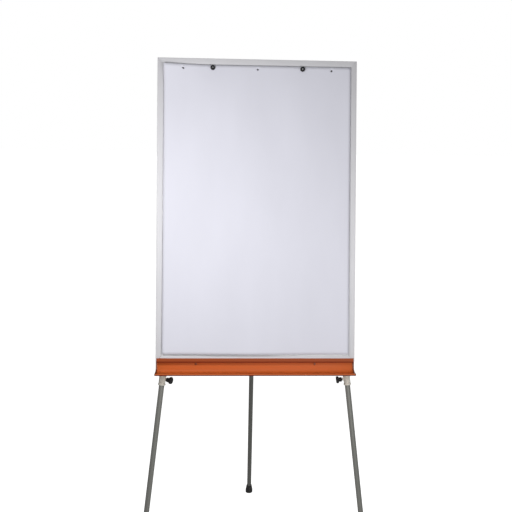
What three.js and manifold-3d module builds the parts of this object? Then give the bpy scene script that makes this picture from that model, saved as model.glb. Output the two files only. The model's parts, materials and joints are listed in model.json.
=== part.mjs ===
// A flipchart easel: a framed writing board with a paper pad and a pen tray, two telescopic front legs
// that splay, and a telescopic rear leg that folds against the board.
//
// Millimetres, +Z up, the user stands on the -Y side. The origin is on the floor, under the middle of
// the easel's bounding box.
//
// Most pieces are drawn in "board space": x to the right, y from the board's front face towards its
// back, z up along the board from its lower edge. One group leans that space back and lifts it.
// A leg is drawn in its own "leg space": the origin on its pivot, z up along the leg.

import * as THREE from "three";
import { mergeVertices } from "three/addons/utils/BufferGeometryUtils.js";
import Module from "manifold-3d";

const degrees = THREE.MathUtils.degToRad;
const SIDES = [
  { name: "left", sign: -1 },
  { name: "right", sign: 1 },
];

// ---------------------------------------------------------------------------------------------
// Driving dimensions
// ---------------------------------------------------------------------------------------------

const GAP = 0.3; // clearance between neighbouring pieces
const ROUND_FACETS = 24; // sides of a tube, knob hub or foot
const FASTENER_FACETS = 12; // sides of a screw, rivet or bolt hole
const MERGE_DISTANCE = 1e-3; // vertices closer than this are one vertex

const BOARD = { width: 695, height: 1055, depth: 20, tilt: degrees(10), lift: 880 };
const FRAME = { width: 21, wall: 2, frontLip: 2.5, grooveDepth: 5, edgeChamfer: 1.2 };
const CORNER_KEY = { armLength: 35 };
const PANEL = { thickness: 8 };
const PAD = { width: 650, height: 1004, topMargin: 24, cardThickness: 1.5, paperThickness: 5 };
const PAD_HOLES = { halfSpacing: 258, below: 37, radius: 3.5 };

const PEG = { halfSpacing: 156, below: 34, radius: 3, headRadius: 6.5, headThickness: 2, proud: 2.4 };
const THUMB_NUT = { radius: 8.5, thickness: 10, lobes: 12, fluteDepth: 0.9, bevel: 0.8 };

const TRAY = { wall: 2.2, hookHeight: 12, drop: 43, reach: 39, lipHeight: 7, fillet: 12, capThickness: 3 };
const TRAY_SCREW = { halfSpacing: 209, below: 10.5, radius: 2.2, headRadius: 4.5, headThickness: 2.3 };

const RAIL = { thickness: 4, endInset: 3.5 };
const HEAD_RAIL = { height: 60, centreBelowTop: 45 };
const LOWER_RAIL = { above: 45, below: 30, screwHalfSpacing: 160 };
const RAIL_SCREW = { radius: 2, headRadius: 4.5, headThickness: 2.5, reach: 4.3 };

const LEG = {
  splay: degrees(6.4), // each front leg from the board's centre line
  rearAngle: degrees(25), // the rear leg from the board's plane
  pivotHalfSpacing: 206,
  railClearance: 1,
  outerRadius: 11,
  outerWall: 1,
  outerLength: 1094,
  innerRadius: 9.5,
  innerWall: 1.2,
  innerLength: 985,
  aboveFloor: 12, // from the floor to the inner tube's end, along the leg
};
const PIVOT_RIVET = { radius: 4, headRadius: 7.5, headThickness: 3.9 };
const LEG_PLUG = { above: 25, stem: 14, capThickness: 4.7 };
const LEG_STOP = { length: 60, width: 8, depth: 16, drop: 1000 };

const COLLAR = {
  sleeve: 20, // over the outer tube
  skirt: 35.5, // below the outer tube, round the inner one
  wall: 1.9,
  waistRadius: 11.8,
  ringHeight: 5,
  clampDrop: 13.5, // from the outer tube's end to the clamp screw's axis
  bossRadius: 5.5,
  bossReach: 16.5,
};
const KNOB = {
  studRadius: 3,
  hubStart: 18.6,
  hubRadius: 8,
  gripStart: 29.4,
  gripEnd: 38,
  gripRadius: 12.5,
  lobes: 10,
  fluteDepth: 1.6,
  bevel: 1.2,
  studDepth: 8, // how far the stud runs into the knob
};
const GUIDE_PLUG = { head: 14, stem: 15 };
const FOOT = { radius: 16, topRadius: 12, straight: 14, height: 40, below: 8 };

const HINGE = { offset: 52, eyeRadius: 10, cheekInside: 11.5, sheet: 3, pinRadius: 3, pinHeadRadius: 5 };
const HINGE_BRACKET = { halfWidth: 32, halfHeight: 30, rivetHalfSpacing: 22, stopFrom: 22, stopTo: 36 };
const HINGE_EYE = { tubeStart: 16, stem: 25, shoulder: 3.7 };

// Where each knob points, as a turn about its leg from the board's +x direction.
const KNOB_TURN = { front_left: degrees(-25), front_right: degrees(180), rear: degrees(90) };

const LOOK = {
  framePaint: { color: 0xc9cbc8, roughness: 0.4, metalness: 0.3 },
  whiteEnamel: { color: 0xf2f3f4, roughness: 0.2, metalness: 0 },
  paper: { color: 0xe9e9f0, roughness: 0.9, metalness: 0 },
  card: { color: 0xa8927a, roughness: 0.95, metalness: 0 },
  trayPaint: { color: 0xc06a35, roughness: 0.45, metalness: 0.2 },
  trayCap: { color: 0x7d4426, roughness: 0.6, metalness: 0 },
  legPaint: { color: 0x74756f, roughness: 0.45, metalness: 0.5 },
  steel: { color: 0xb6b8b8, roughness: 0.3, metalness: 1 },
  clampPlastic: { color: 0xc4c8bd, roughness: 0.5, metalness: 0 },
  blackPlastic: { color: 0x1b1b1d, roughness: 0.5, metalness: 0 },
  rubber: { color: 0x202020, roughness: 0.85, metalness: 0 },
};

// ---------------------------------------------------------------------------------------------
// Places worked out from the driving dimensions, in board space
// ---------------------------------------------------------------------------------------------

const MITRE_GAP = GAP / Math.SQRT2; // taken off each end of a bar, so two mitres stand GAP apart
const PANEL_FRONT = FRAME.frontLip + GAP;
const PANEL_BACK = PANEL_FRONT + PANEL.thickness;
const GROOVE_BACK = PANEL_BACK + GAP;
const CHAMBER_END = FRAME.width - FRAME.grooveDepth - FRAME.wall;

const CARD_BACK = PANEL_FRONT - GAP;
const CARD_FRONT = CARD_BACK - PAD.cardThickness;
const PAPER_BACK = CARD_FRONT - GAP;
const PAPER_FRONT = PAPER_BACK - PAD.paperThickness;
const PAD_TOP = BOARD.height - PAD.topMargin;
const PEG_HEIGHT = BOARD.height - PEG.below;
const NUT_BACK = PAPER_FRONT - GAP;
const NUT_FRONT = NUT_BACK - THUMB_NUT.thickness;

const RAIL_FRONT = BOARD.depth + GAP;
const RAIL_BACK = RAIL_FRONT + RAIL.thickness;
const RAIL_HALF_LENGTH = BOARD.width / 2 - RAIL.endInset;
const PIVOT_HEIGHT = BOARD.height - HEAD_RAIL.centreBelowTop;
const SIDE_SCREW_HALF_SPACING = BOARD.width / 2 - FRAME.width / 2;
const BOTTOM_SCREW_HEIGHT = FRAME.width / 2;

const LEG_DEPTH = RAIL_BACK + LEG.railClearance + LEG.outerRadius;
const OUTER_BORE = LEG.outerRadius - LEG.outerWall;
const INNER_BORE = LEG.innerRadius - LEG.innerWall;
const COLLAR_BORE = LEG.innerRadius + GAP;
const COLLAR_SLEEVE_BORE = LEG.outerRadius + GAP;
const COLLAR_RADIUS = COLLAR_SLEEVE_BORE + COLLAR.wall;

const BRACKET_FRONT = RAIL_BACK + GAP;
const BRACKET_BACK = BRACKET_FRONT + HINGE.sheet;
const TRAY_HALF_LENGTH = BOARD.width / 2 - TRAY.capThickness - GAP;

// ---------------------------------------------------------------------------------------------
// Shaping helpers
// ---------------------------------------------------------------------------------------------

const wasm = await Module();
wasm.setup();

/** The closed solid that a three.js geometry bounds. */
function solidOf(geometry) {
  const bare = geometry.clone();
  bare.deleteAttribute("normal");
  bare.deleteAttribute("uv");
  const merged = mergeVertices(bare, MERGE_DISTANCE);
  return new wasm.Manifold(
    new wasm.Mesh({
      numProp: 3,
      vertProperties: merged.attributes.position.array,
      triVerts: new Uint32Array(merged.index.array),
    }),
  );
}

/** The three.js geometry of a solid. */
function geometryOf(solid) {
  const mesh = solid.getMesh();
  const geometry = new THREE.BufferGeometry();
  geometry.setAttribute("position", new THREE.BufferAttribute(mesh.vertProperties, 3));
  geometry.setIndex(new THREE.BufferAttribute(mesh.triVerts, 1));
  geometry.computeVertexNormals();
  return geometry;
}

function join(first, ...others) {
  return geometryOf(others.reduce((whole, other) => whole.add(solidOf(other)), solidOf(first)));
}

function cut(body, ...tools) {
  return geometryOf(tools.reduce((rest, tool) => rest.subtract(solidOf(tool)), solidOf(body)));
}

/** A box between two opposite corners. */
function box([x0, y0, z0], [x1, y1, z1]) {
  const size = new THREE.BoxGeometry(x1 - x0, y1 - y0, z1 - z0);
  return size.translate((x0 + x1) / 2, (y0 + y1) / 2, (z0 + z1) / 2);
}

/** A body turned about z from [radius, z] points, which close or start and end on the axis. */
function turned(outline, facets = ROUND_FACETS) {
  const points = outline.map(([radius, z]) => new THREE.Vector2(radius, z));
  return new THREE.LatheGeometry(points, facets).rotateX(Math.PI / 2);
}

/** A cylinder along z. */
function rod(radius, from, to, facets = ROUND_FACETS) {
  return turned([[0, from], [radius, from], [radius, to], [0, to]], facets);
}

/** A straight tube along z. */
function tube(radius, bore, from, to) {
  return turned([[bore, from], [radius, from], [radius, to], [bore, to], [bore, from]]);
}

/** Turns a body drawn along z so that it runs along x. */
function alongX(geometry) {
  return geometry.rotateY(Math.PI / 2);
}

/** Turns a body drawn along z so that it runs along y, then moves it to a place on the board. */
function alongY(geometry, x, z) {
  return geometry.rotateX(-Math.PI / 2).translate(x, 0, z);
}

/** A round hole through something that lies flat on the board. */
function boltHole(radius, x, z, from, to) {
  return alongY(rod(radius, from, to, FASTENER_FACETS), x, z);
}

function shapeOf(points) {
  return new THREE.Shape(points.map(([a, b]) => new THREE.Vector2(a, b)));
}

/** A shape in (y, z), pushed along x from one place to another. */
function pushedAlongX(shape, from, to) {
  const axes = new THREE.Matrix4().makeBasis(
    new THREE.Vector3(0, 1, 0),
    new THREE.Vector3(0, 0, 1),
    new THREE.Vector3(1, 0, 0),
  );
  const options = { depth: to - from, bevelEnabled: false, curveSegments: 6 };
  return new THREE.ExtrudeGeometry(shape, options).applyMatrix4(axes).translate(from, 0, 0);
}

/** A grip with rounded flutes round its rim, along z. */
function flutedGrip({ radius, lobes, fluteDepth, bevel }, from, to) {
  const stepsPerLobe = 4;
  const steps = lobes * stepsPerLobe;
  const points = Array.from({ length: steps }, (_, step) => {
    const angle = (2 * Math.PI * step) / steps;
    const reach = radius - (fluteDepth * (1 + Math.cos(lobes * angle))) / 2;
    return [reach * Math.cos(angle), reach * Math.sin(angle)];
  });
  const options = {
    depth: to - from - 2 * bevel,
    bevelThickness: bevel,
    bevelSize: bevel,
    bevelOffset: -bevel,
    bevelSegments: 1,
  };
  return new THREE.ExtrudeGeometry(shapeOf(points), options).translate(0, 0, from + bevel);
}

/** Adds one named piece, with a material of its own, to a group. */
function addPiece(group, name, geometry, look) {
  const mesh = new THREE.Mesh(geometry, new THREE.MeshStandardMaterial(look));
  mesh.name = name;
  group.add(mesh);
}

// ---------------------------------------------------------------------------------------------
// The board: frame, corner keys and writing panel
// ---------------------------------------------------------------------------------------------

/**
 * One frame bar with mitred ends. It is drawn with x from the frame's outer edge inwards, y from
 * front to back and z along the bar: the ends close in by as much as x moves inwards.
 */
function frameBar(length) {
  const section = shapeOf([
    [FRAME.edgeChamfer, 0],
    [FRAME.width, 0],
    [FRAME.width, FRAME.frontLip],
    [FRAME.width - FRAME.grooveDepth, FRAME.frontLip],
    [FRAME.width - FRAME.grooveDepth, GROOVE_BACK],
    [FRAME.width, GROOVE_BACK],
    [FRAME.width, BOARD.depth],
    [0, BOARD.depth],
    [0, FRAME.edgeChamfer],
  ]);
  section.holes.push(
    shapeOf([
      [FRAME.wall, FRAME.wall],
      [FRAME.wall, BOARD.depth - FRAME.wall],
      [CHAMBER_END, BOARD.depth - FRAME.wall],
      [CHAMBER_END, FRAME.wall],
    ]),
  );
  const bar = new THREE.ExtrudeGeometry(section, { depth: 1, bevelEnabled: false });
  const vertices = bar.attributes.position;
  for (let index = 0; index < vertices.count; index += 1) {
    const end = vertices.getZ(index) > 0 ? 1 : -1;
    vertices.setZ(index, end * (length / 2 - vertices.getX(index) - MITRE_GAP));
  }
  bar.computeVertexNormals();
  return bar;
}

function addFrame(board) {
  const { width, height } = BOARD;
  for (const { name, sign } of SIDES) {
    const bar = frameBar(height)
      .rotateY(sign < 0 ? 0 : Math.PI)
      .translate((sign * width) / 2, 0, height / 2);
    const x = sign * SIDE_SCREW_HALF_SPACING;
    const hole = boltHole(RAIL_SCREW.radius + GAP, x, PIVOT_HEIGHT, CHAMBER_END, RAIL_FRONT);
    addPiece(board, `frame_${name}`, cut(bar, hole), LOOK.framePaint);
  }
  const holes = SIDES.map(({ sign }) => {
    const x = sign * LOWER_RAIL.screwHalfSpacing;
    return boltHole(RAIL_SCREW.radius + GAP, x, BOTTOM_SCREW_HEIGHT, CHAMBER_END, RAIL_FRONT);
  });
  const bottom = frameBar(width).rotateY(-Math.PI / 2);
  const top = frameBar(width).rotateY(Math.PI / 2).translate(0, 0, height);
  addPiece(board, "frame_bottom", cut(bottom, ...holes), LOOK.framePaint);
  addPiece(board, "frame_top", top, LOOK.framePaint);
}

/** An L that ties two bars together from inside their hollow chambers. */
function addCornerKeys(board) {
  const near = FRAME.wall + GAP;
  const far = CHAMBER_END - GAP;
  const reach = near + CORNER_KEY.armLength;
  for (const [level, atTop] of [["lower", false], ["upper", true]]) {
    for (const { name, sign } of SIDES) {
      const height = (inward) => (atTop ? BOARD.height - inward : inward);
      const sideways = (inward) => sign * (BOARD.width / 2 - inward);
      const outline = [[near, near], [reach, near], [reach, far], [far, far], [far, reach], [near, reach]];
      const shape = shapeOf(outline.map(([x, z]) => [sideways(x), height(z)]));
      const depth = BOARD.depth - 2 * (FRAME.wall + GAP);
      const key = new THREE.ExtrudeGeometry(shape, { depth, bevelEnabled: false })
        .rotateX(Math.PI / 2)
        .translate(0, BOARD.depth - FRAME.wall - GAP, 0);
      addPiece(board, `corner_key_${level}_${name}`, key, LOOK.steel);
    }
  }
}

function pegHoles(radius, from, to) {
  return SIDES.map(({ sign }) => boltHole(radius, sign * PEG.halfSpacing, PEG_HEIGHT, from, to));
}

function addPanel(board) {
  const inset = FRAME.width - FRAME.grooveDepth + GAP;
  const halfWidth = BOARD.width / 2 - inset;
  const sheet = box([-halfWidth, PANEL_FRONT, inset], [halfWidth, PANEL_BACK, BOARD.height - inset]);
  const panel = cut(sheet, ...pegHoles(PEG.radius + GAP, PANEL_FRONT - 1, PANEL_BACK + 1));
  addPiece(board, "writing_panel", panel, LOOK.whiteEnamel);
}

// ---------------------------------------------------------------------------------------------
// The pad and the pegs it hangs on
// ---------------------------------------------------------------------------------------------

/** A block of the pad's size, punched for the two pegs and wherever `spareHoles` says. */
function padLayer(front, back, spareHoles) {
  const halfWidth = PAD.width / 2;
  const block = box([-halfWidth, front, PAD_TOP - PAD.height], [halfWidth, back, PAD_TOP]);
  return cut(block, ...pegHoles(PEG.radius + 2 * GAP, front - 1, back + 1), ...spareHoles);
}

/** The card has holes for the pegs only. The paper also has three spare holes, in one row. */
function addPad(board) {
  const spareHoles = [-1, 0, 1].map((place) => {
    const x = place * PAD_HOLES.halfSpacing;
    return boltHole(PAD_HOLES.radius, x, BOARD.height - PAD_HOLES.below, PAPER_FRONT - 1, PAPER_BACK + 1);
  });
  addPiece(board, "pad_card", padLayer(CARD_FRONT, CARD_BACK, []), LOOK.card);
  addPiece(board, "paper_pad", padLayer(PAPER_FRONT, PAPER_BACK, spareHoles), LOOK.paper);
}

function addPegs(board) {
  const tip = NUT_FRONT - PEG.proud;
  const headFront = PANEL_BACK + GAP;
  const tipChamfer = 1.2;
  for (const { name, sign } of SIDES) {
    const x = sign * PEG.halfSpacing;
    const stud = turned([
      [0, tip],
      [PEG.radius - tipChamfer, tip],
      [PEG.radius, tip + tipChamfer],
      [PEG.radius, headFront],
      [PEG.headRadius, headFront],
      [PEG.headRadius, headFront + PEG.headThickness],
      [0, headFront + PEG.headThickness],
    ]);
    const nut = cut(
      flutedGrip(THUMB_NUT, NUT_FRONT, NUT_BACK),
      rod(PEG.radius + GAP, NUT_FRONT - 1, NUT_BACK + 1),
    );
    addPiece(board, `peg_stud_${name}`, alongY(stud, x, PEG_HEIGHT), LOOK.steel);
    addPiece(board, `thumb_nut_${name}`, alongY(nut, x, PEG_HEIGHT), LOOK.blackPlastic);
  }
}

// ---------------------------------------------------------------------------------------------
// The pen tray
// ---------------------------------------------------------------------------------------------

/** The tray's section: a hook over the board's lower edge, a back plate, a fillet, a shelf and a lip. */
function traySection() {
  const hookFront = -GAP - TRAY.wall;
  const webBottom = -GAP - TRAY.wall;
  const plateFront = BOARD.depth - TRAY.wall;
  const shelfTop = TRAY.wall - TRAY.drop;
  const outerFillet = TRAY.fillet + TRAY.wall;
  const section = new THREE.Shape();
  section.moveTo(-GAP, -GAP);
  section.lineTo(-GAP, TRAY.hookHeight);
  section.lineTo(hookFront, TRAY.hookHeight);
  section.lineTo(hookFront, webBottom);
  section.lineTo(plateFront, webBottom);
  section.lineTo(plateFront, shelfTop + TRAY.fillet);
  section.absarc(plateFront - TRAY.fillet, shelfTop + TRAY.fillet, TRAY.fillet, 0, -Math.PI / 2, true);
  section.lineTo(TRAY.wall - TRAY.reach, shelfTop);
  section.lineTo(TRAY.wall - TRAY.reach, TRAY.lipHeight - TRAY.drop);
  section.lineTo(-TRAY.reach, TRAY.lipHeight - TRAY.drop);
  section.lineTo(-TRAY.reach, -TRAY.drop);
  section.lineTo(BOARD.depth - outerFillet, -TRAY.drop);
  section.absarc(BOARD.depth - outerFillet, outerFillet - TRAY.drop, outerFillet, -Math.PI / 2, 0, false);
  section.lineTo(BOARD.depth, -GAP);
  return section;
}

/** The end cap's outline: tall at the back plate, sweeping down to the shelf's front lip. */
function capOutline() {
  const throat = BOARD.depth - TRAY.fillet;
  const sweepTop = -TRAY.drop / 2;
  const outline = new THREE.Shape();
  outline.moveTo(BOARD.depth, -GAP);
  outline.lineTo(throat, -GAP);
  outline.lineTo(throat, sweepTop);
  outline.quadraticCurveTo(throat, TRAY.lipHeight - TRAY.drop, -TRAY.reach, TRAY.lipHeight - TRAY.drop);
  outline.lineTo(-TRAY.reach, -TRAY.drop);
  outline.lineTo(BOARD.depth, -TRAY.drop);
  return outline;
}

function addTray(board) {
  const plateFront = BOARD.depth - TRAY.wall;
  const headBack = plateFront - GAP;
  const headFront = headBack - TRAY_SCREW.headThickness;
  const extrusion = pushedAlongX(traySection(), -TRAY_HALF_LENGTH, TRAY_HALF_LENGTH);
  const holes = SIDES.map(({ sign }) => {
    const x = sign * TRAY_SCREW.halfSpacing;
    return boltHole(TRAY_SCREW.radius + GAP, x, -TRAY_SCREW.below, plateFront - 1, RAIL_FRONT);
  });
  addPiece(board, "pen_tray", cut(extrusion, ...holes), LOOK.trayPaint);
  for (const { name, sign } of SIDES) {
    const inner = TRAY_HALF_LENGTH + GAP;
    const outer = inner + TRAY.capThickness;
    const cap = pushedAlongX(capOutline(), sign < 0 ? -outer : inner, sign < 0 ? -inner : outer);
    const screw = turned(
      [
        [0, headFront],
        [TRAY_SCREW.headRadius - 1, headFront],
        [TRAY_SCREW.headRadius, headBack - 1],
        [TRAY_SCREW.headRadius, headBack],
        [TRAY_SCREW.radius, headBack],
        [TRAY_SCREW.radius, RAIL_BACK - GAP],
        [0, RAIL_BACK - GAP],
      ],
      FASTENER_FACETS,
    );
    addPiece(board, `tray_end_cap_${name}`, cap, LOOK.trayCap);
    addPiece(
      board,
      `tray_screw_${name}`,
      alongY(screw, sign * TRAY_SCREW.halfSpacing, -TRAY_SCREW.below),
      LOOK.steel,
    );
  }
}

// ---------------------------------------------------------------------------------------------
// The rails behind the board
// ---------------------------------------------------------------------------------------------

function rail(bottom, top, holes) {
  const bar = box([-RAIL_HALF_LENGTH, RAIL_FRONT, bottom], [RAIL_HALF_LENGTH, RAIL_BACK, top]);
  const tools = holes.flatMap(([halfSpacing, height, radius]) =>
    SIDES.map(({ sign }) =>
      boltHole(radius + GAP, sign * halfSpacing, height, RAIL_FRONT - 1, RAIL_BACK + 1),
    ),
  );
  return cut(bar, ...tools);
}

/** A fastener along y with a head at each end, clamping everything from `front` to `back`. */
function rivet({ radius, headRadius, headThickness }, front, back) {
  const outline = [
    [0, front - headThickness],
    [headRadius, front - headThickness],
    [headRadius, front],
    [radius, front],
    [radius, back],
    [headRadius, back],
    [headRadius, back + headThickness / 2],
    [headRadius / 2, back + headThickness],
    [0, back + headThickness],
  ];
  return turned(outline, FASTENER_FACETS);
}

function addRails(board) {
  const headRailHoles = [
    [SIDE_SCREW_HALF_SPACING, PIVOT_HEIGHT, RAIL_SCREW.radius],
    [LEG.pivotHalfSpacing, PIVOT_HEIGHT, PIVOT_RIVET.radius],
    [HINGE_BRACKET.rivetHalfSpacing, PIVOT_HEIGHT, RAIL_SCREW.radius],
  ];
  const lowerRailHoles = [
    [LOWER_RAIL.screwHalfSpacing, BOTTOM_SCREW_HEIGHT, RAIL_SCREW.radius],
    [TRAY_SCREW.halfSpacing, -TRAY_SCREW.below, TRAY_SCREW.radius],
  ];
  const half = HEAD_RAIL.height / 2;
  const headRail = rail(PIVOT_HEIGHT - half, PIVOT_HEIGHT + half, headRailHoles);
  addPiece(board, "head_rail", headRail, LOOK.legPaint);
  addPiece(board, "lower_rail", rail(-LOWER_RAIL.below, LOWER_RAIL.above, lowerRailHoles), LOOK.legPaint);
}

function addRailScrews(board) {
  const headFront = RAIL_BACK + GAP;
  const places = [
    ["upper", SIDE_SCREW_HALF_SPACING, PIVOT_HEIGHT],
    ["lower", LOWER_RAIL.screwHalfSpacing, BOTTOM_SCREW_HEIGHT],
  ];
  for (const [level, halfSpacing, height] of places) {
    for (const { name, sign } of SIDES) {
      const screw = turned(
        [
          [0, BOARD.depth - RAIL_SCREW.reach],
          [RAIL_SCREW.radius, BOARD.depth - RAIL_SCREW.reach],
          [RAIL_SCREW.radius, headFront],
          [RAIL_SCREW.headRadius, headFront],
          [RAIL_SCREW.headRadius, headFront + RAIL_SCREW.headThickness / 2],
          [RAIL_SCREW.headRadius / 2, headFront + RAIL_SCREW.headThickness],
          [0, headFront + RAIL_SCREW.headThickness],
        ],
        FASTENER_FACETS,
      );
      addPiece(board, `rail_screw_${level}_${name}`, alongY(screw, sign * halfSpacing, height), LOOK.steel);
    }
  }
}

/** Blocks on the lower rail that each splayed front leg leans on. */
function addLegStops(board) {
  for (const { name, sign } of SIDES) {
    const inside = LEG.outerRadius + GAP;
    const front = -LEG.outerRadius - LEG.railClearance + GAP;
    const stop = new THREE.BoxGeometry(LEG_STOP.width, LEG_STOP.depth, LEG_STOP.length)
      .translate(sign * (inside + LEG_STOP.width / 2), front + LEG_STOP.depth / 2, -LEG_STOP.drop)
      .rotateY(-sign * LEG.splay)
      .translate(sign * LEG.pivotHalfSpacing, LEG_DEPTH, PIVOT_HEIGHT);
    addPiece(board, `leg_stop_${name}`, stop, LOOK.blackPlastic);
  }
}

// ---------------------------------------------------------------------------------------------
// The hinge of the rear leg
// ---------------------------------------------------------------------------------------------

/** A sheet bracket on the head rail: base, two cheeks, and a plate that stops the opened leg. */
function addHingeBracket(board) {
  const { halfWidth, halfHeight, rivetHalfSpacing, stopFrom, stopTo } = HINGE_BRACKET;
  const cheekOutside = HINGE.cheekInside + HINGE.sheet;
  const stopFront = LEG.outerRadius + GAP;
  const stopBack = stopFront + HINGE.sheet;
  const inBoardSpace = (y, z) => [
    y * Math.cos(LEG.rearAngle) - z * Math.sin(LEG.rearAngle),
    y * Math.sin(LEG.rearAngle) + z * Math.cos(LEG.rearAngle),
  ];
  const base = BRACKET_FRONT - HINGE.offset;
  const cheekShape = shapeOf([
    [base, -halfHeight],
    [base, halfHeight],
    [-HINGE.eyeRadius, HINGE.eyeRadius + HINGE.sheet],
    [HINGE.eyeRadius, HINGE.eyeRadius + HINGE.sheet],
    inBoardSpace(stopBack, -stopFrom),
    inBoardSpace(stopBack, -stopTo),
    inBoardSpace(stopFront, -stopTo),
  ]);
  const stopPlate = box([-cheekOutside, stopFront, -stopTo], [cheekOutside, stopBack, -stopFrom])
    .rotateX(LEG.rearAngle);
  const whole = join(
    box([-halfWidth, base, -halfHeight], [halfWidth, base + HINGE.sheet, halfHeight]),
    pushedAlongX(cheekShape, -cheekOutside, -HINGE.cheekInside),
    pushedAlongX(cheekShape, HINGE.cheekInside, cheekOutside),
    stopPlate,
  );
  const pinHole = alongX(rod(HINGE.pinRadius + GAP, -halfWidth, halfWidth));
  const rivetHoles = SIDES.map(({ sign }) =>
    boltHole(RAIL_SCREW.radius + GAP, sign * rivetHalfSpacing, 0, base - 1, base + HINGE.sheet + 1),
  );
  const bracket = cut(whole, pinHole, ...rivetHoles).translate(0, HINGE.offset, PIVOT_HEIGHT);
  addPiece(board, "hinge_bracket", bracket, LOOK.legPaint);

  const pin = alongX(rivet(
    { radius: HINGE.pinRadius, headRadius: HINGE.pinHeadRadius, headThickness: HINGE.sheet },
    -cheekOutside - GAP,
    cheekOutside + GAP,
  )).translate(0, HINGE.offset, PIVOT_HEIGHT);
  addPiece(board, "hinge_pin", pin, LOOK.steel);

  for (const { name, sign } of SIDES) {
    const body = rivet(RAIL_SCREW, RAIL_FRONT - GAP, BRACKET_BACK + GAP);
    const placed = alongY(body, sign * rivetHalfSpacing, PIVOT_HEIGHT);
    addPiece(board, `bracket_rivet_${name}`, placed, LOOK.steel);
  }
}

/** The rear leg's top fitting: an eye on the hinge pin and a stem inside the outer tube. */
function hingeEye() {
  const { tubeStart, stem, shoulder } = HINGE_EYE;
  const halfWidth = HINGE.cheekInside - GAP;
  const neckRadius = HINGE.eyeRadius - 1;
  const body = turned([
    [0, -tubeStart - stem],
    [OUTER_BORE - 0.4, -tubeStart - stem],
    [OUTER_BORE - 0.4, GAP - tubeStart],
    [LEG.outerRadius, GAP - tubeStart],
    [LEG.outerRadius, GAP - tubeStart + shoulder],
    [neckRadius, GAP - tubeStart + shoulder + 2],
    [neckRadius, -1],
    [0, -1],
  ]);
  const eye = alongX(rod(HINGE.eyeRadius, -halfWidth, halfWidth));
  return cut(join(body, eye), alongX(rod(HINGE.pinRadius + GAP, -halfWidth - 1, halfWidth + 1)));
}

// ---------------------------------------------------------------------------------------------
// A telescopic leg
// ---------------------------------------------------------------------------------------------

/** The plastic collar on the outer tube's end, with a boss for the clamp screw. */
function collarGeometry(tubeEnd, knobTurn) {
  const bottom = tubeEnd - COLLAR.skirt;
  const clampHeight = tubeEnd - COLLAR.clampDrop;
  const ringTop = bottom + COLLAR.ringHeight;
  const rimChamfer = 1;
  const body = turned([
    [0, bottom],
    [COLLAR_RADIUS - rimChamfer, bottom],
    [COLLAR_RADIUS, bottom + rimChamfer],
    [COLLAR_RADIUS, ringTop],
    [COLLAR.waistRadius, ringTop + 2 * rimChamfer],
    [COLLAR.waistRadius, tubeEnd - 8 * rimChamfer],
    [COLLAR_RADIUS, tubeEnd - 4 * rimChamfer],
    [COLLAR_RADIUS, tubeEnd + COLLAR.sleeve],
    [0, tubeEnd + COLLAR.sleeve],
  ]);
  const crosswise = (radius, reach) =>
    alongX(rod(radius, 0, reach, FASTENER_FACETS)).translate(0, 0, clampHeight);
  const boss = crosswise(COLLAR.bossRadius, COLLAR.bossReach);
  const studHole = crosswise(KNOB.studRadius + 2 * GAP, COLLAR.bossReach + 1);
  const bores = [
    rod(COLLAR_BORE, bottom - 1, tubeEnd + COLLAR.sleeve + 1),
    rod(COLLAR_SLEEVE_BORE, tubeEnd - GAP, tubeEnd + COLLAR.sleeve + 1),
  ];
  return cut(join(body, boss), studHole, ...bores).rotateZ(knobTurn);
}

/** A clamp knob along +x from the leg's axis: a hub and a fluted grip, drilled for its stud. */
function knobGeometry() {
  const grip = flutedGrip({ ...KNOB, radius: KNOB.gripRadius }, KNOB.gripStart, KNOB.gripEnd);
  const hub = rod(KNOB.hubRadius, KNOB.hubStart, KNOB.gripStart + KNOB.bevel);
  const drilling = rod(KNOB.studRadius + GAP, KNOB.hubStart - 1, KNOB.hubStart + KNOB.studDepth + GAP);
  return alongX(cut(join(grip, hub), drilling));
}

/** The rubber foot, cut off level with the floor whatever the leg's slant. */
function footGeometry(leg, floorHeight) {
  const blank = turned([
    [0, floorHeight - FOOT.below],
    [FOOT.radius, floorHeight - FOOT.below],
    [FOOT.radius, floorHeight + FOOT.straight],
    [FOOT.topRadius, floorHeight + FOOT.height],
    [LEG.innerRadius + GAP, floorHeight + FOOT.height],
    [LEG.innerRadius + GAP, floorHeight + LEG.aboveFloor - GAP],
    [0, floorHeight + LEG.aboveFloor - GAP],
  ]);
  const slab = 2 * BOARD.height;
  const underFloor = box([-slab, -slab, -slab], [slab, slab, 0]);
  leg.updateWorldMatrix(true, false);
  underFloor.applyMatrix4(leg.matrixWorld.clone().invert());
  return cut(blank, underFloor);
}

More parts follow.
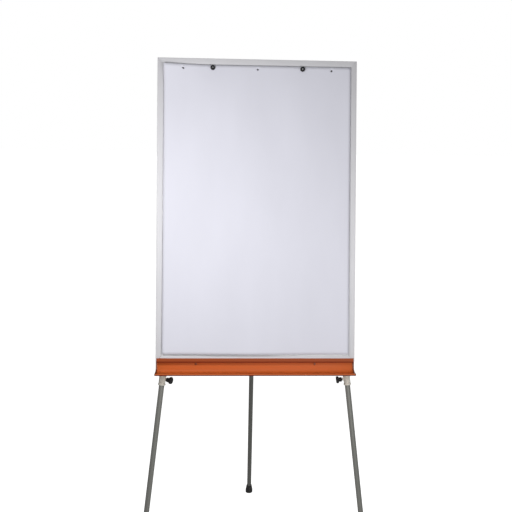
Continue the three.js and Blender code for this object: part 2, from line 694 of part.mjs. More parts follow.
/** The tubes, guide plug, collar, clamp knob and foot that all three legs share. */
function addTelescope(leg, name, tubeTop, outerTube) {
  const tubeEnd = tubeTop - LEG.outerLength;
  const pivot = new THREE.Vector3().setFromMatrixPosition(leg.matrixWorld);
  const downhill = new THREE.Vector3(0, 0, -1).transformDirection(leg.matrixWorld);
  const floorHeight = pivot.z / downhill.z;
  const innerStart = floorHeight + LEG.aboveFloor;
  const innerEnd = innerStart + LEG.innerLength;
  const guide = turned([
    [0, innerEnd - GUIDE_PLUG.stem],
    [INNER_BORE - GAP, innerEnd - GUIDE_PLUG.stem],
    [INNER_BORE - GAP, innerEnd + GAP],
    [OUTER_BORE - GAP, innerEnd + GAP],
    [OUTER_BORE - GAP, innerEnd + GUIDE_PLUG.head],
    [0, innerEnd + GUIDE_PLUG.head],
  ]);
  const turn = KNOB_TURN[name];
  const inner = tube(LEG.innerRadius, INNER_BORE, innerStart, innerEnd);
  const outer = outerTube(tube(LEG.outerRadius, OUTER_BORE, tubeEnd, tubeTop));
  addPiece(leg, `${name}_outer_tube`, outer, LOOK.legPaint);
  addPiece(leg, `${name}_collar`, collarGeometry(tubeEnd, turn), LOOK.clampPlastic);
  addPiece(leg, `${name}_inner_tube`, inner, LOOK.legPaint);
  addPiece(leg, `${name}_guide_plug`, guide, LOOK.blackPlastic);
  addPiece(leg, `${name}_foot`, footGeometry(leg, floorHeight), LOOK.rubber);

  const clamp = new THREE.Group();
  clamp.position.z = tubeEnd - COLLAR.clampDrop;
  clamp.rotation.z = turn;
  leg.add(clamp);
  const studEnd = KNOB.hubStart + KNOB.studDepth;
  addPiece(clamp, `${name}_knob`, knobGeometry(), LOOK.blackPlastic);
  addPiece(clamp, `${name}_clamp_stud`, alongX(rod(KNOB.studRadius, COLLAR_BORE, studEnd)), LOOK.steel);
}

function addFrontLegs(board) {
  const holeReach = LEG.outerRadius + 1;
  const drilled = (outer) => cut(outer, boltHole(PIVOT_RIVET.radius + GAP, 0, 0, -holeReach, holeReach));
  const { above, stem, capThickness } = LEG_PLUG;
  for (const { name, sign } of SIDES) {
    const leg = new THREE.Group();
    leg.position.set(sign * LEG.pivotHalfSpacing, LEG_DEPTH, PIVOT_HEIGHT);
    leg.rotation.y = -sign * LEG.splay;
    board.add(leg);
    leg.updateWorldMatrix(true, false);
    addTelescope(leg, `front_${name}`, above, drilled);
    const plug = turned([
      [0, above - stem],
      [OUTER_BORE - 0.4, above - stem],
      [OUTER_BORE - 0.4, above + GAP],
      [LEG.outerRadius, above + GAP],
      [LEG.outerRadius, above + capThickness - 1.5],
      [LEG.outerRadius - 1.5, above + capThickness],
      [0, above + capThickness],
    ]);
    addPiece(leg, `front_${name}_end_plug`, plug, LOOK.blackPlastic);
    const body = rivet(PIVOT_RIVET, RAIL_FRONT - GAP, LEG_DEPTH + LEG.outerRadius + GAP);
    const placed = alongY(body, sign * LEG.pivotHalfSpacing, PIVOT_HEIGHT);
    addPiece(board, `pivot_rivet_${name}`, placed, LOOK.steel);
  }
}

function addRearLeg(board) {
  const leg = new THREE.Group();
  leg.position.set(0, HINGE.offset, PIVOT_HEIGHT);
  leg.rotation.x = LEG.rearAngle;
  board.add(leg);
  leg.updateWorldMatrix(true, false);
  addTelescope(leg, "rear", -HINGE_EYE.tubeStart, (outer) => outer);
  addPiece(leg, "rear_hinge_eye", hingeEye(), LOOK.blackPlastic);
}

// ---------------------------------------------------------------------------------------------
// The whole easel
// ---------------------------------------------------------------------------------------------

const easel = new THREE.Group();
const board = new THREE.Group();
board.position.z = BOARD.lift;
board.rotation.x = -BOARD.tilt;
easel.add(board);

addFrame(board);
addCornerKeys(board);
addPanel(board);
addPad(board);
addPegs(board);
addTray(board);
addRails(board);
addRailScrews(board);
addLegStops(board);
addHingeBracket(board);
addFrontLegs(board);
addRearLeg(board);

const bounds = new THREE.Box3().setFromObject(easel, true);
board.position.y = -(bounds.min.y + bounds.max.y) / 2;

export default easel;
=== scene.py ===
import functools
import json
import math

import bpy
from mathutils import Matrix, Vector


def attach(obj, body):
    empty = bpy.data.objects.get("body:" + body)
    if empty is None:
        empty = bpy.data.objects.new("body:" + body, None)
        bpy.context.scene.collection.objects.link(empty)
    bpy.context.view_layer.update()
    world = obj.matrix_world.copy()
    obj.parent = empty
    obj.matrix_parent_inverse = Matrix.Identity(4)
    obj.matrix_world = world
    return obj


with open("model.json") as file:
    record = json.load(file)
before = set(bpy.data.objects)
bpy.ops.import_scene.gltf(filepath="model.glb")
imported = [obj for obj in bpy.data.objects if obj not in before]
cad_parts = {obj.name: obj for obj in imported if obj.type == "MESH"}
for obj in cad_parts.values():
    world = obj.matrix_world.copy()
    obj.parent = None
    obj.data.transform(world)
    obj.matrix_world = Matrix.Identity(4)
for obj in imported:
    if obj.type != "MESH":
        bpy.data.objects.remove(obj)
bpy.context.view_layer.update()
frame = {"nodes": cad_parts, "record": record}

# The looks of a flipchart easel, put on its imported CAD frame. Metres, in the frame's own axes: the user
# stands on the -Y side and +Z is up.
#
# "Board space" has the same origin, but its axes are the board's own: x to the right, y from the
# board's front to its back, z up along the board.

JOINTS = {joint["name"]: joint for joint in frame["record"]["behaviour"]["joints"]}
NODES = frame["nodes"]
LEGS = ("front_left", "front_right", "rear")

ACROSS = Vector((1.0, 0.0, 0.0))
BACK = Vector(JOINTS["front_left_leg_swing"]["axis"]).normalized()
UP = ACROSS.cross(BACK)
BOARD_AXES = Matrix((ACROSS, BACK, UP)).transposed()

MM = 0.001


# ---------------------------------------------------------------------------------------------
# Places
# ---------------------------------------------------------------------------------------------

def board_box(node):
    """The lowest and highest corner of a CAD node in board space."""
    points = [BOARD_AXES.transposed() @ vertex.co for vertex in NODES[node].data.vertices]
    low = Vector(min(point[axis] for point in points) for axis in range(3))
    high = Vector(max(point[axis] for point in points) for axis in range(3))
    return low, high


def leg_axis(leg):
    """The direction up along a leg."""
    return Vector(JOINTS[f"{leg}_leg_slide"]["axis"]).normalized()


FRAME_LOW = board_box("frame_bottom")[0]
FRAME_HIGH = board_box("frame_top")[1]
LOWER_EDGE = Vector(((FRAME_LOW.x + FRAME_HIGH.x) / 2, FRAME_LOW.y, FRAME_LOW.z))  # its middle
PAD_LOW, PAD_HIGH = board_box("paper_pad")
TRAY_LOW = board_box("pen_tray")[0]
TRAY_WALL = 2.5 * MM  # the tray's sheet and the gap under the board


# ---------------------------------------------------------------------------------------------
# Materials
# ---------------------------------------------------------------------------------------------

FRAME_GREY = (0.725, 0.72, 0.745)
TRAY_ORANGE = (0.68, 0.15, 0.03)
TRAY_CAP_BROWN = (0.24, 0.085, 0.035)
LEG_GREY = (0.27, 0.272, 0.25)
PAPER_WHITE = (0.80, 0.80, 0.885)
COLLAR_GREY = (0.79, 0.765, 0.68)
BLACK = (0.018, 0.018, 0.02)
ZINC = (0.62, 0.63, 0.65)
MILL_ALUMINIUM = (0.5, 0.51, 0.52)
# Painted shade: the thread's roots are coloured dark, as shade in grooves that are only bump.
THREAD_ROOT = (0.16, 0.16, 0.17)
THREAD_CREST = (0.5, 0.51, 0.52)
# Painted shade: the backing card is coloured dark so that the spare holes, whose floor it is, look deep and
# shaded.
CARD_DARK = (0.09, 0.085, 0.08)
CARD_LIGHT = (0.15, 0.14, 0.13)
CARD_FLECK = (0.05, 0.045, 0.04)
LACQUER_WIPED = (0.76, 0.77, 0.78)
LACQUER_CLEAN = (0.84, 0.85, 0.86)
RUBBER_CLEAN = (0.02, 0.02, 0.021)
RUBBER_DUSTY = (0.07, 0.065, 0.06)

REAR_LEG_SHADE = 0.65  # painted shade: share of the front legs' coat, for the shade the rear leg stands in
TRAY_SCREW_SHADE = 0.5  # of the tray's coat
GUIDE_SHADE = 1.5  # of the black plastic
PAINTED_SHADE_SHARES = (0.26, 0.1, 0.05)  # what is left of a coat's red, green and blue where painted shade is darkest

# Where painted shade darkens the tray's coat. Each pair is where a fade starts and ends.
STRIP_START = (-0.5 * MM, 0.5 * MM)  # above the tray's fold under the board
GROOVE_END = (2.0 * MM, 4.0 * MM)  # above the same fold
STRIP_SHADE = 0.58  # share of the full painted shade, on the strip above the groove's painted shadow
LIP_FACE = (0.4 * MM, 1.0 * MM)  # behind the lip's front
LIP_EDGE = (3.0 * MM, 5.0 * MM)  # above the tray's lowest edge

THREAD_PITCH = 1.0 * MM
SHEET_EDGE_PITCH = 0.35 * MM
WAVES_PER_TAU = 20.0  # how many bands a wave texture of scale 1 has in 2 pi units


def shade(colour, factor):
    """The colour, darker or lighter by a factor."""
    return tuple(channel * factor for channel in colour)


class Surface:
    """A principled material, with helpers that add procedural detail to it."""

    def __init__(self, name, along=None, stretch=1.0):
        """Detail is drawn out `stretch` times along one direction of the frame."""
        self.material = bpy.data.materials.new(name)
        self.material.use_nodes = True
        self.tree = self.material.node_tree
        self.shader = self.tree.nodes["Principled BSDF"]
        self.place = self._place(along, stretch)

    def node(self, kind, **settings):
        """Adds a shader node and sets its properties."""
        made = self.tree.nodes.new(kind)
        for key, value in settings.items():
            setattr(made, key, value)
        return made

    def link(self, source, target):
        """Joins an output socket to an input socket."""
        self.tree.links.new(source, target)

    def _place(self, along, stretch):
        """The coordinates that the detail is laid out in."""
        coordinates = self.node("ShaderNodeTexCoord").outputs["Object"]
        if along is None:
            return coordinates
        turn = self.node("ShaderNodeVectorRotate", rotation_type="EULER_XYZ")
        turn.inputs["Rotation"].default_value = along.rotation_difference(Vector((0, 0, 1))).to_euler()
        self.link(coordinates, turn.inputs["Vector"])
        squeeze = self.node("ShaderNodeVectorMath", operation="MULTIPLY")
        squeeze.inputs[1].default_value = (1.0, 1.0, 1.0 / stretch)
        self.link(turn.outputs["Vector"], squeeze.inputs[0])
        return squeeze.outputs["Vector"]

    def noise(self, size, detail=3.0, roughness=0.5):
        """Noise whose blotches are about `size` metres across, from 0 to 1."""
        made = self.node("ShaderNodeTexNoise")
        made.inputs["Scale"].default_value = 1.0 / size
        made.inputs["Detail"].default_value = detail
        made.inputs["Roughness"].default_value = roughness
        self.link(self.place, made.inputs["Vector"])
        return made.outputs["Fac"]

    def ranged(self, value, low, high, start=0.3, end=0.7):
        """The value, spread from start..end to low..high."""
        made = self.node("ShaderNodeMapRange")
        made.inputs["From Min"].default_value = start
        made.inputs["From Max"].default_value = end
        made.inputs["To Min"].default_value = low
        made.inputs["To Max"].default_value = high
        self.link(value, made.inputs["Value"])
        return made.outputs["Result"]

    def mixed(self, factor, first, second):
        """Two colours mixed by a factor. Each is a colour or a socket."""
        made = self.node("ShaderNodeMix", data_type="RGBA")
        self.link(factor, made.inputs["Factor"])
        for socket, colour in ((made.inputs[6], first), (made.inputs[7], second)):
            if isinstance(colour, bpy.types.NodeSocket):
                self.link(colour, socket)
            else:
                socket.default_value = (*colour, 1.0)
        return made.outputs[2]

    def varied(self, value, colour, darkest, lightest):
        """One colour that wanders between two shades of itself."""
        return self.mixed(self.ranged(value, 0.0, 1.0), shade(colour, darkest), shade(colour, lightest))

    def height_along(self, direction):
        """How far each place is along one direction from the frame's origin, in metres."""
        made = self.node("ShaderNodeVectorMath", operation="DOT_PRODUCT")
        made.inputs[1].default_value = direction
        self.link(self.node("ShaderNodeTexCoord").outputs["Object"], made.inputs[0])
        return made.outputs["Value"]

    def fade(self, value, edge, span, low, high):
        """From low to high where the value passes through a span that is measured from an edge."""
        start, end = span
        return self.ranged(value, low, high, edge + start, edge + end)

    def bands(self, pitch, distortion=0.0, **settings):
        """Bands across the direction that the detail is laid out along, one for each pitch."""
        made = self.node("ShaderNodeTexWave", wave_type="BANDS", bands_direction="Z", **settings)
        made.inputs["Scale"].default_value = 1.0 / (WAVES_PER_TAU * pitch) * math.tau
        made.inputs["Distortion"].default_value = distortion
        self.link(self.place, made.inputs["Vector"])
        return made.outputs["Fac"]

    def calculated(self, operation, first, second):
        """One sum on two values."""
        made = self.node("ShaderNodeMath", operation=operation)
        self.link(first, made.inputs[0])
        self.link(second, made.inputs[1])
        return made.outputs["Value"]

    def colour(self, source):
        """Gives the surface its colour."""
        self.link(source, self.shader.inputs["Base Color"])

    def rough(self, size, low, high):
        """Roughness that wanders between two values in blotches of `size`."""
        self.link(self.ranged(self.noise(size), low, high), self.shader.inputs["Roughness"])

    def bumped(self, height, distance, strength=1.0):
        """Adds one layer of bump on top of those already there."""
        bump = self.node("ShaderNodeBump")
        bump.inputs["Distance"].default_value = distance
        bump.inputs["Strength"].default_value = strength
        self.link(height, bump.inputs["Height"])
        normal = self.shader.inputs["Normal"]
        if normal.is_linked:
            self.link(normal.links[0].from_socket, bump.inputs["Normal"])
        self.link(bump.outputs["Normal"], normal)

    def fixed(self, **values):
        """Sets sockets that are the same all over the surface."""
        for name, value in values.items():
            self.shader.inputs[name.replace("_", " ")].default_value = value


def satin_coat(
    name, colour, along, metallic=0.35, rough=(0.34, 0.46), drawn=40.0, darker=None, specular=0.5
):
    """A thin coat over drawn metal: faint lines along the draw, dust mottling and scuffed patches.

    `darker` is a function of the surface that gives, from 0 to 1, where the coat is darkened by painted
    shade.
    """
    surface = Surface(name, along, drawn)
    lines = surface.noise(1.6 * MM, detail=4.0)
    mottle = surface.noise(45 * MM, detail=2.0)
    tinted = surface.varied(lines, colour, darkest=0.95, lightest=1.04)
    dust_and_painted_shade = surface.mixed(surface.ranged(mottle, 0.0, 0.35), tinted, shade(colour, 0.86))
    # Painted shade: the coat is mixed toward its darkest where `darker` gives 1.
    if darker:
        painted_shade_colour = tuple(share * channel for share, channel in zip(PAINTED_SHADE_SHARES, colour))
        dust_and_painted_shade = surface.mixed(darker(surface), dust_and_painted_shade, painted_shade_colour)
    surface.colour(dust_and_painted_shade)
    surface.rough(20 * MM, *rough)
    surface.bumped(lines, distance=0.02 * MM, strength=0.35)
    surface.fixed(Metallic=metallic, Specular_IOR_Level=specular)
    return surface.material


def tray_coat(name):
    """The tray's orange coat, with painted shade on the strip hooked over the board, a painted shadow line
    under it, and painted shade along the lip's lower edge.
    """
    fold = FRAME_LOW.z - TRAY_WALL

    # Painted shade: a dark strip where the tray hooks over the board, a darker line under it for the hook's
    # shadow, and a dark lower edge on the lip.
    def darker(surface):
        height = surface.height_along(UP)
        depth = surface.height_along(BACK)
        on_strip = surface.fade(height, fold, STRIP_START, 0.0, 1.0)
        past_groove = surface.fade(height, fold, GROOVE_END, 1.0, STRIP_SHADE)
        at_front = surface.fade(depth, TRAY_LOW.y, LIP_FACE, 1.0, 0.0)
        near_bottom = surface.fade(height, TRAY_LOW.z, LIP_EDGE, 1.0, 0.0)
        strip_shade = surface.calculated("MULTIPLY", on_strip, past_groove)
        lip_shade = surface.calculated("MULTIPLY", at_front, near_bottom)
        return surface.calculated("MAXIMUM", strip_shade, lip_shade)

    return satin_coat(
        name,
        TRAY_ORANGE,
        ACROSS,
        metallic=0.0,
        rough=(0.5, 0.65),
        drawn=120.0,
        darker=darker,
        specular=0.25,
    )


def moulded_plastic(name, colour, rough=(0.42, 0.58), grain=0.5 * MM, depth=0.03 * MM, specular=0.5):
    """Moulded plastic: fine even grain, slightly glossier patches where hands rub it."""
    surface = Surface(name)
    grains = surface.noise(grain, detail=2.0)
    wear = surface.noise(9 * MM, detail=3.0)
    surface.colour(surface.varied(wear, colour, darkest=0.88, lightest=1.12))
    surface.rough(6 * MM, *rough)
    surface.bumped(grains, distance=depth, strength=0.6)
    surface.fixed(Specular_IOR_Level=specular)
    return surface.material


def zinc_steel(name, colour=ZINC, along=None):
    """Zinc plated steel, with cloudy plating and fine handling scratches."""
    surface = Surface(name, along, stretch=12.0 if along else 1.0)
    cloud = surface.noise(2.5 * MM, detail=4.0)
    scratch = surface.noise(0.4 * MM, detail=5.0, roughness=0.7)
    surface.colour(surface.varied(cloud, colour, darkest=0.82, lightest=1.1))
    surface.rough(1.5 * MM, low=0.24, high=0.42)
    surface.bumped(scratch, distance=0.015 * MM, strength=0.5)
    surface.fixed(Metallic=1.0)
    return surface.material


def threaded_steel(name, axis):
    """Plated steel with a screw thread round one axis, its roots darkened with painted shade."""
    surface = Surface(name, axis)
    groove = surface.bands(THREAD_PITCH, wave_profile="TRI")
    surface.colour(surface.mixed(groove, THREAD_ROOT, THREAD_CREST))
    surface.rough(1.0 * MM, low=0.25, high=0.4)
    surface.bumped(groove, distance=0.3 * MM, strength=0.8)
    surface.fixed(Metallic=1.0)
    return surface.material


def writing_paper(name, colour, edge_lines=False):
    """Uncoated paper: fibres, faint cloudiness, and on a pad's sides the edges of its sheets."""
    along, stretch = (BACK, 1.0) if edge_lines else (UP, 3.0)
    surface = Surface(name, along, stretch)
    fibres = surface.noise(0.7 * MM, detail=5.0, roughness=0.65)
    cloud = surface.noise(120 * MM, detail=3.0)
    tone = surface.varied(cloud, colour, darkest=0.975, lightest=1.015)
    surface.colour(surface.mixed(surface.ranged(fibres, 0.0, 0.12), tone, shade(colour, 0.9)))
    surface.rough(30 * MM, low=0.82, high=0.95)
    surface.bumped(fibres, distance=0.02 * MM, strength=0.25)
    surface.bumped(surface.noise(70 * MM, detail=1.0), distance=0.6 * MM, strength=0.3)
    if edge_lines:
        sheet_edges = surface.bands(SHEET_EDGE_PITCH, distortion=1.5)
        surface.bumped(sheet_edges, distance=0.15 * MM, strength=0.6)
    surface.fixed(Specular_IOR_Level=0.25)
    return surface.material


def grey_card(name):
    """The pad's backing card, with fibres and darker flecks, coloured dark as painted shade for the floors
    of the spare holes.
    """
    surface = Surface(name)
    fibres = surface.noise(0.9 * MM, detail=5.0, roughness=0.7)
    flecks = surface.noise(3.5 * MM, detail=2.0)
    body = surface.mixed(surface.ranged(fibres, 0.0, 1.0), CARD_DARK, CARD_LIGHT)
    flecked = surface.ranged(flecks, 0.0, 0.5, start=0.62, end=0.7)
    surface.colour(surface.mixed(flecked, body, CARD_FLECK))
    surface.rough(4 * MM, low=0.85, high=0.97)
    surface.bumped(fibres, distance=0.06 * MM, strength=0.5)
    return surface.material


def white_lacquer(name):
    """The writing face: a smooth lacquer with orange peel and faint wiped streaks."""
    surface = Surface(name, ACROSS, stretch=8.0)
    peel = surface.noise(2.2 * MM, detail=1.0)
    wiped = surface.noise(14 * MM, detail=4.0)
    surface.colour(surface.mixed(surface.ranged(wiped, 0.0, 1.0), LACQUER_WIPED, LACQUER_CLEAN))
    surface.rough(18 * MM, low=0.14, high=0.26)
    surface.bumped(peel, distance=0.02 * MM, strength=0.3)
    return surface.material


def foot_rubber(name):
    """Matt black rubber with floor dust on it."""
    surface = Surface(name)
    grit = surface.noise(0.8 * MM, detail=4.0)
    dust = surface.noise(7 * MM, detail=4.0)
    dusty = surface.ranged(dust, 0.0, 1.0, start=0.4, end=0.75)
    surface.colour(surface.mixed(dusty, RUBBER_CLEAN, RUBBER_DUSTY))
    surface.rough(5 * MM, low=0.7, high=0.9)
    surface.bumped(grit, distance=0.08 * MM, strength=0.6)
    return surface.material


def node_materials():
    """A material for every CAD node, keyed by node name."""
    frame_finish = {"metallic": 0.05, "rough": (0.5, 0.64)}
    drawn_across = satin_coat("frame_coat_across", FRAME_GREY, ACROSS, **frame_finish)
    drawn_up = satin_coat("frame_coat_up", FRAME_GREY, UP, **frame_finish)
    tray = tray_coat("tray_coat")
    screw_coat = shade(TRAY_ORANGE, TRAY_SCREW_SHADE)
    tray_screws = satin_coat("tray_screw_coat", screw_coat, ACROSS, metallic=0.0)
    rails = zinc_steel("rail_alloy", MILL_ALUMINIUM, ACROSS)
    black = moulded_plastic("black_plastic", BLACK, specular=0.3)
    guides = moulded_plastic("guide_plastic", shade(BLACK, GUIDE_SHADE))
    collar = moulded_plastic("collar_plastic", COLLAR_GREY, rough=(0.38, 0.5), grain=0.8 * MM)
    caps = moulded_plastic("tray_cap_plastic", TRAY_CAP_BROWN)
    bracket = satin_coat("bracket_coat", LEG_GREY, UP)
    plated = zinc_steel("zinc_steel")
    rubber = foot_rubber("foot_rubber")
    looks = {
        "frame_top": drawn_across,
        "frame_bottom": drawn_across,
        "frame_left": drawn_up,
        "frame_right": drawn_up,
        "pen_tray": tray,
        "head_rail": rails,
        "lower_rail": rails,
        "hinge_bracket": bracket,
        "writing_panel": white_lacquer("white_lacquer"),
        "pad_card": grey_card("grey_card"),
        "paper_pad": writing_paper("pad_paper", PAPER_WHITE, edge_lines=True),
        "rear_hinge_eye": black,
    }
    for side in ("left", "right"):
        looks[f"tray_end_cap_{side}"] = caps
        looks[f"tray_screw_{side}"] = tray_screws
        looks[f"leg_stop_{side}"] = black
        looks[f"thumb_nut_{side}"] = black
        looks[f"peg_stud_{side}"] = threaded_steel(f"peg_thread_{side}", BACK)
        looks[f"front_{side}_end_plug"] = black
    for leg in LEGS:
        axis = leg_axis(leg)
        # Painted shade: the rear leg gets a darker copy of the front legs' coat.
        coat = shade(LEG_GREY, REAR_LEG_SHADE if leg == "rear" else 1.0)
        tube = satin_coat(f"{leg}_tube_coat", coat, axis, metallic=0.3, rough=(0.42, 0.55), drawn=60.0)
        looks[f"{leg}_outer_tube"] = tube
        looks[f"{leg}_inner_tube"] = tube
        looks[f"{leg}_collar"] = collar
        looks[f"{leg}_guide_plug"] = guides
        looks[f"{leg}_foot"] = rubber
        looks[f"{leg}_knob"] = black
        screw_axis = Vector(JOINTS[f"{leg}_clamp_screw"]["axis"])
        looks[f"{leg}_clamp_stud"] = threaded_steel(f"{leg}_clamp_thread", screw_axis)
    for name in NODES:
        looks.setdefault(name, plated)
    return looks


# ---------------------------------------------------------------------------------------------
# Finishing the CAD nodes: small edge radii and smooth shading
# ---------------------------------------------------------------------------------------------

# In millimetres, for the nodes whose names hold each word. The first word found counts.
EDGE_RADIUS = {
    "pen_tray": 0.5,
    "tray_end_cap": 0.6,
    "frame": 0.35,
    "pad_card": 0.2,
    "leg_stop": 0.8,
    "hinge_bracket": 0.5,
    "collar": 0.35,
    "knob": 0.4,
    "thumb_nut": 0.35,
    "rail": 0.3,
    "screw": 0.25,
    "rivet": 0.25,
    "foot": 0.8,
    "end_plug": 0.4,
}

BEVEL_STEPS = 2
BEVEL_ANGLE = math.radians(35)  # sharper edges than this are rounded
SMOOTH_ANGLE = math.radians(32)  # flatter edges than this are shaded smooth
WELD_DISTANCE = 0.002 * MM


def smoothing_group():
    """A modifier group that shades smooth every edge flatter than SMOOTH_ANGLE."""
    group = bpy.data.node_groups.new("smooth_by_angle", "GeometryNodeTree")
    group.interface.new_socket("Geometry", in_out="INPUT", socket_type="NodeSocketGeometry")
    group.interface.new_socket("Geometry", in_out="OUTPUT", socket_type="NodeSocketGeometry")
    start = group.nodes.new("NodeGroupInput")
    finish = group.nodes.new("NodeGroupOutput")
    faces = group.nodes.new("GeometryNodeSetShadeSmooth")
    edges = group.nodes.new("GeometryNodeSetShadeSmooth")
    edges.domain = "EDGE"
    edge_angle = group.nodes.new("GeometryNodeInputMeshEdgeAngle")
    flatter = group.nodes.new("FunctionNodeCompare")
    flatter.operation = "LESS_THAN"
    flatter.inputs["B"].default_value = SMOOTH_ANGLE
    group.links.new(start.outputs[0], faces.inputs["Geometry"])
    group.links.new(faces.outputs[0], edges.inputs["Geometry"])
    group.links.new(edge_angle.outputs["Unsigned Angle"], flatter.inputs["A"])
    group.links.new(flatter.outputs["Result"], edges.inputs["Shade Smooth"])
    group.links.new(edges.outputs[0], finish.inputs[0])
    return group


def finish_node(obj, smoothing):
    """Welds a CAD node's facets, rounds its sharp edges and shades it smooth."""
    weld = obj.modifiers.new("weld", "WELD")
    weld.merge_threshold = WELD_DISTANCE
    radius = next((size for key, size in EDGE_RADIUS.items() if key in obj.name), None)
    if radius:
        bevel = obj.modifiers.new("edge_radius", "BEVEL")
        bevel.width = radius * MM
        bevel.segments = BEVEL_STEPS
        bevel.limit_method = "ANGLE"
        bevel.angle_limit = BEVEL_ANGLE
        bevel.use_clamp_overlap = True
    smooth = obj.modifiers.new("smooth", "NODES")
    smooth.node_group = smoothing


def dress_nodes():
    """Gives every CAD node its material and its finish."""
    smoothing = smoothing_group()
    for name, material in node_materials().items():
        obj = NODES[name]
        obj.data.materials.clear()
        obj.data.materials.append(material)
        finish_node(obj, smoothing)


# ---------------------------------------------------------------------------------------------
# The pad's front sheets
# ---------------------------------------------------------------------------------------------

SHEET_THICKNESS = 0.1 * MM
SHEET_COLUMNS = 66
SHEET_ROWS = 100
PEG_HOLE_RADIUS = 4.2 * MM
SPARE_HOLE = {"spacing": 258 * MM, "below_pegs": 3 * MM, "radius": 3.5 * MM}
PINCH_RADIUS = 24 * MM  # round a peg, where its nut holds the sheets flat
PINCH_FADE = 45 * MM  # beyond it, over which they come free
PUNCH_LENGTH = 60 * MM  # half of it reaches past the farthest point of a sheet
PUNCH_SIDES = 24
CURL_ACROSS = 3.2  # the top left curl dies out at 1 / 3.2 of the width
CURL_DOWN = 9  # and at 1 / 9 of the height
CORNER_ACROSS = 5  # powers that keep the bottom corners' lift close to the corners
CORNER_DOWN = 6
RIPPLES_ACROSS = 5  # half waves across the sheet
RIPPLES_DOWN = 1.3  # and down it


@functools.cache
def peg_places():
    """The x and z of both pegs in board space."""
    boxes = [board_box(f"peg_stud_{side}") for side in ("left", "right")]
    return [((low.x + high.x) / 2, (low.z + high.z) / 2) for low, high in boxes]


def sheet_lift(u, v, wave):
    """How far a free sheet stands off the pad: u from 0 to 1 across, v from 0 at the top to 1 below.

    The top left corner curls up, the bottom edge bellies out and its corners lift a little.
    """
    hang = v ** 3
    curl = wave["curl"] * max(0.0, 1 - CURL_ACROSS * u) ** 2 * max(0.0, 1 - CURL_DOWN * v) ** 2
    belly = wave["belly"] * math.exp(-(((u - wave["centre"]) / wave["spread"]) ** 2))
    corners = wave["corner"] * (abs(2 * u - 1) ** CORNER_ACROSS) * v ** CORNER_DOWN
    half_waves = RIPPLES_ACROSS * u + RIPPLES_DOWN * v + wave["phase"]
    ripple = wave["ripple"] * v * math.sin(math.pi * half_waves)
    return hang * belly + corners + curl + max(0.0, ripple + wave["ripple"] * v)


def clear_of_nuts(x, z):
    """From 0 where a thumb nut pinches the sheets to 1 where they hang free."""
    nearest = min(math.hypot(x - peg_x, z - peg_z) for peg_x, peg_z in peg_places())
    share = min(1.0, max(0.0, (nearest - PINCH_RADIUS) / PINCH_FADE))
    return share * share * (3 - 2 * share)


def pad_sheet(name, pinched, free, wave):
    """One hanging sheet, `pinched` metres off the pad's front under a nut and at least `free` elsewhere."""
    width = PAD_HIGH.x - PAD_LOW.x
    height = PAD_HIGH.z - PAD_LOW.z
    vertices = []
    for row in range(SHEET_ROWS + 1):
        v = row / SHEET_ROWS
        for column in range(SHEET_COLUMNS + 1):
            u = column / SHEET_COLUMNS
            x = PAD_LOW.x + u * width
            z = PAD_HIGH.z - v * height
            share = clear_of_nuts(x, z)
            lift = (1 - share) * pinched + share * (free + sheet_lift(u, v, wave))
            y = PAD_LOW.y - lift
            vertices.append(BOARD_AXES @ Vector((x, y, z)))
    faces = []
    for row in range(SHEET_ROWS):
        for column in range(SHEET_COLUMNS):
            corner = row * (SHEET_COLUMNS + 1) + column
            below = corner + SHEET_COLUMNS + 1
            faces.append((corner, below, below + 1, corner + 1))
    mesh = bpy.data.meshes.new(name)
    mesh.from_pydata(vertices, [], faces)
    obj = bpy.data.objects.new(name, mesh)
    bpy.context.scene.collection.objects.link(obj)
    thicken = obj.modifiers.new("thickness", "SOLIDIFY")
    thicken.thickness = SHEET_THICKNESS
    thicken.offset = 0.0
    return obj


def punch(obj, places):
    """Cuts round holes through a sheet at (x, z, radius) places in board space."""
    cutters = []
    for x, z, radius in places:
        bpy.ops.mesh.primitive_cylinder_add(vertices=PUNCH_SIDES, radius=radius, depth=PUNCH_LENGTH)
        cutter = bpy.context.object
        cutter.matrix_world = (
            Matrix.Translation(BOARD_AXES @ Vector((x, PAD_LOW.y, z)))
            @ BACK.to_track_quat("Z", "Y").to_matrix().to_4x4()
        )
        cut = obj.modifiers.new("hole", "BOOLEAN")
        cut.object = cutter
        cut.solver = "EXACT"
        cutters.append(cutter)
    bpy.context.view_layer.update()
    graph = bpy.context.evaluated_depsgraph_get()
    obj.data = bpy.data.meshes.new_from_object(obj.evaluated_get(graph))
    obj.modifiers.clear()
    for cutter in cutters:
        bpy.data.objects.remove(cutter)


def hole_places():
    """The sheets' punched holes as x, z and radius: two round the pegs, and three spare ones."""
    round_pegs = [(x, z, PEG_HOLE_RADIUS) for x, z in peg_places()]
    spare_height = round_pegs[0][1] - SPARE_HOLE["below_pegs"]
    spares = [(side * SPARE_HOLE["spacing"], spare_height, SPARE_HOLE["radius"]) for side in (-1, 0, 1)]
    return round_pegs + spares


# How each sheet hangs: the bulge of its bottom edge, where that is, and how much its corners lift and curl.
SHEET_WAVES = {
    "front_sheet": {
        "belly": 11 * MM,
        "centre": 0.44,
        "spread": 0.3,
        "corner": 2.5 * MM,
        "curl": 16 * MM,
        "ripple": 0.35 * MM,
        "phase": 0.2,
    },
    "second_sheet": {
        "belly": 5 * MM,
        "centre": 0.47,
        "spread": 0.3,
        "corner": 0.6 * MM,
        "curl": 6 * MM,
        "ripple": 0.2 * MM,
        "phase": 0.6,
    },
}

# How far each sheet is off the pad's front: under a nut, and at least where it hangs free.
SHEET_GAPS = {"front_sheet": (0.22 * MM, 0.9 * MM), "second_sheet": (0.08 * MM, 0.45 * MM)}


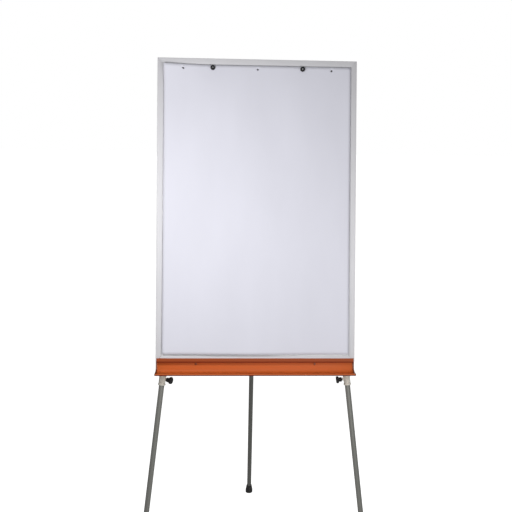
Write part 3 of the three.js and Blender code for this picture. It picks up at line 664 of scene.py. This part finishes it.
def add_pad_sheets():
    """The two sheets that hang in front of the pad's block."""
    paper = writing_paper("sheet_paper", PAPER_WHITE)
    for name, wave in SHEET_WAVES.items():
        obj = pad_sheet(name, *SHEET_GAPS[name], wave)
        punch(obj, hole_places())
        obj.data.materials.clear()
        obj.data.materials.append(paper)
        for polygon in obj.data.polygons:
            polygon.use_smooth = True
        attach(obj, "board")


# ---------------------------------------------------------------------------------------------
# The studio
# ---------------------------------------------------------------------------------------------

FLOOR_SIZE = 80.0
FLOOR_GLOW = 0.9  # lifts the floor to the backdrop's white, without lighting the easel
AMBIENT = 0.2  # the white world's strength, where the camera doesn't see it straight
FLOOR_BLOTCH = 0.6
FLOOR_DULL = (0.90, 0.90, 0.90)
FLOOR_BRIGHT = (0.92, 0.92, 0.92)
WHITE = (1.0, 1.0, 1.0, 1.0)


def add_floor():
    """A pale floor that the camera sees as white as the world behind it."""
    bpy.ops.mesh.primitive_plane_add(size=FLOOR_SIZE)
    floor = bpy.context.object
    floor.name = "studio_floor"
    surface = Surface("studio_floor")
    surface.colour(surface.mixed(surface.noise(FLOOR_BLOTCH), FLOOR_DULL, FLOOR_BRIGHT))
    surface.fixed(Roughness=0.9, Emission_Color=WHITE)
    seen = surface.node("ShaderNodeLightPath").outputs["Is Camera Ray"]
    glow = surface.ranged(seen, 0.0, FLOOR_GLOW, start=0.0, end=1.0)
    surface.link(glow, surface.shader.inputs["Emission Strength"])
    floor.data.materials.append(surface.material)


def add_world():
    """A white world that lights the easel only faintly."""
    world = bpy.data.worlds.new("studio")
    world.use_nodes = True
    bpy.context.scene.world = world
    tree = world.node_tree
    background = tree.nodes["Background"]
    background.inputs["Color"].default_value = WHITE
    paths = tree.nodes.new("ShaderNodeLightPath")
    strength = tree.nodes.new("ShaderNodeMapRange")
    strength.inputs["To Min"].default_value = AMBIENT
    strength.inputs["To Max"].default_value = 1.0
    tree.links.new(paths.outputs["Is Camera Ray"], strength.inputs["Value"])
    tree.links.new(strength.outputs["Result"], background.inputs["Strength"])


def add_area_light(name, place, target, size, watts):
    """A square soft light at a board-space place, aimed at a board-space target."""
    light = bpy.data.lights.new(name, "AREA")
    light.shape = "SQUARE"
    light.size = size
    light.energy = watts
    obj = bpy.data.objects.new(name, light)
    start = BOARD_AXES @ Vector(place)
    aim = BOARD_AXES @ Vector(target)
    obj.location = start
    obj.rotation_euler = (aim - start).to_track_quat("-Z", "Y").to_euler()
    obj.visible_camera = False
    bpy.context.scene.collection.objects.link(obj)


# Name, metres right of, ahead of and above the middle of the board's lower edge, size, watts.
LIGHTS = (
    ("key", (-0.49, 1.0, 0.61), 0.25, 6.3),
    ("fill", (0.51, 1.6, 0.17), 0.8, 12.0),
    ("back", (1.2, -1.8, 0.9), 1.2, 14.0),
)


def add_lights():
    """Each light shines straight at the board's plane."""
    for name, (across, ahead, above), size, watts in LIGHTS:
        place = LOWER_EDGE + Vector((across, -ahead, above))
        target = LOWER_EDGE + Vector((across, 0.0, above))
        add_area_light(name, place, target, size, watts)


# The camera looks at the board almost squarely. It is set in board space, from the middle of the
# board's lower edge, in metres. The lens is in millimetres, and the shift is a share of the sensor.
SENSOR_WIDTH = 36.0
CAMERA = {
    "side": -0.0775,
    "distance": 2.534,
    "height": 0.3834,
    "yaw": math.radians(2.878),
    "pitch": math.radians(0.306),
    "roll": math.radians(-0.442),
    "lens": 51.06,
    "shift": -0.0287,
}


def add_camera():
    """The camera, turned by its yaw, then its pitch, then its roll."""
    camera = bpy.data.cameras.new("camera")
    camera.sensor_width = SENSOR_WIDTH
    camera.lens = CAMERA["lens"]
    camera.shift_x = CAMERA["shift"]
    obj = bpy.data.objects.new("camera", camera)
    yaw, pitch, roll = CAMERA["yaw"], CAMERA["pitch"], CAMERA["roll"]
    forward = Vector((math.sin(yaw) * math.cos(pitch), math.cos(yaw) * math.cos(pitch), -math.sin(pitch)))
    right = Vector((math.cos(yaw), -math.sin(yaw), 0.0))
    down = forward.cross(right)
    turned_right = math.cos(roll) * right + math.sin(roll) * down
    turned_up = math.sin(roll) * right - math.cos(roll) * down
    axes = BOARD_AXES @ Matrix((turned_right, turned_up, -forward)).transposed()
    place = LOWER_EDGE + Vector((CAMERA["side"], -CAMERA["distance"], CAMERA["height"]))
    obj.matrix_world = Matrix.Translation(BOARD_AXES @ place) @ axes.to_4x4()
    bpy.context.scene.collection.objects.link(obj)
    bpy.context.scene.camera = obj


add_camera()
dress_nodes()
add_pad_sheets()
add_floor()
add_world()
add_lights()
bpy.context.scene.view_settings.view_transform = "Standard"
